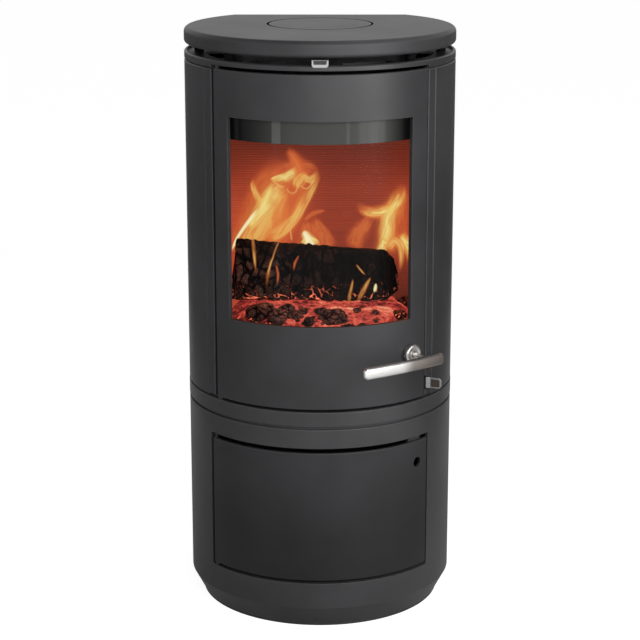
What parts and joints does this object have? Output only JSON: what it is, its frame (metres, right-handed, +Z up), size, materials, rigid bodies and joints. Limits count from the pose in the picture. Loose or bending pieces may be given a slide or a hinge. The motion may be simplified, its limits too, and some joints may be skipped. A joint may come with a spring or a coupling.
{
  "type": "wood stove",
  "caption": "Round-fronted cast iron wood stove with a curved glass firebox door, storage pedestal with a curved door, thick top plate and rear flue collar.",
  "frame": {"origin": "on the round body's axis, at the floor under the foot plate", "axes": "+Z up, -Y towards the front with the doors, +X towards the handle's side"},
  "size_m": [0.4428, 0.4811, 0.964],
  "materials": {
    "cast_iron_paint": "satin heat paint",
    "steel_plate": "matt heat paint",
    "stainless": "brushed",
    "zinc_steel": "plated",
    "fire_lining": "rough, ribbed",
    "fire_glass": "polished",
    "seal_rope": "woven glass fibre",
    "charred_wood": "charred",
    "embers": "glowing charcoal"
  },
  "bodies": {
    "root": {"foot_plate": "cast_iron_paint", "levelling_screws": "zinc_steel", "base_casing": "cast_iron_paint", "storage_floor": "steel_plate", "storage_hinge_pins": "zinc_steel", "storage_door_bush": "zinc_steel", "storage_catch": "zinc_steel", "air_box": "steel_plate", "mid_band": "cast_iron_paint", "left_pillar": "cast_iron_paint", "right_pillar": "cast_iron_paint", "left_side_panel": "cast_iron_paint", "right_side_panel": "cast_iron_paint", "rear_panel": "steel_plate", "rear_panel_screws": "zinc_steel", "firebox_shell": "steel_plate", "front_frame": "cast_iron_paint", "firebox_floor": "steel_plate", "firebox_roof": "steel_plate", "top_outlet_cap": "cast_iron_paint", "flue_collar": "steel_plate", "left_lining": "fire_lining", "right_lining": "fire_lining", "back_lining": "fire_lining", "baffle": "fire_lining", "grate": "cast_iron_paint", "log_retainer": "cast_iron_paint", "fire_log": "charred_wood", "ember_bed": "embers", "ash_pan_rails": "steel_plate", "door_hinge_pins": "zinc_steel", "door_bush": "zinc_steel", "latch_keeper": "zinc_steel", "air_slide_guide": "steel_plate", "top_ring": "cast_iron_paint", "top_spacers": "steel_plate", "top_plate": "cast_iron_paint", "air_lever_pivot": "zinc_steel"},
    "door": {"door_casting": "cast_iron_paint", "door_glass": "fire_glass", "glass_tape": "seal_rope", "glass_clips": "zinc_steel", "door_rope": "seal_rope", "handle_rosette": "stainless", "rosette_grub_screw": "zinc_steel"},
    "handle": {"handle_bar": "stainless", "handle_spindle": "stainless", "latch_shaft": "zinc_steel", "latch_tongue": "zinc_steel"},
    "storage_door": {"storage_door": "cast_iron_paint"},
    "top_air_lever": {"top_air_lever": "stainless"},
    "primary_air_slide": {"primary_air_slide": "stainless"},
    "flue_cover": {"flue_cover": "cast_iron_paint"},
    "ash_pan": {"ash_pan": "steel_plate"}
  },
  "joints": [
    {"name": "door_hinge", "type": "hinge", "parent": "root", "child": "door", "pos_m": [-0.16078, -0.14274, 0.6455], "axis": [0, 0, -1], "range_deg": [0, 100]},
    {"name": "handle_turn", "type": "hinge", "parent": "door", "child": "handle", "pos_m": [0.14499, -0.16679, 0.457], "axis": [0.6561, -0.7547, 0], "range_deg": [-40, 0]},
    {"name": "storage_door_hinge", "type": "hinge", "parent": "root", "child": "storage_door", "pos_m": [-0.17015, -0.13306, 0.1955], "axis": [0, 0, -1], "range_deg": [0, 100]},
    {"name": "top_air_swing", "type": "hinge", "parent": "root", "child": "top_air_lever", "pos_m": [0, -0.075, 0.9345], "axis": [0, 0, 1], "range_deg": [-8, 8]},
    {"name": "primary_air_pull", "type": "slide", "parent": "root", "child": "primary_air_slide", "axis": [0.7766, -0.63, 0], "range_m": [0, 0.018]},
    {"name": "flue_cover_lift", "type": "slide", "parent": "root", "child": "flue_cover", "axis": [0, 0, 1], "range_m": [0, 0.06]},
    {"name": "ash_pan_pull", "type": "slide", "parent": "root", "child": "ash_pan", "axis": [0, -1, 0], "range_m": [0, 0.022]}
  ]
}
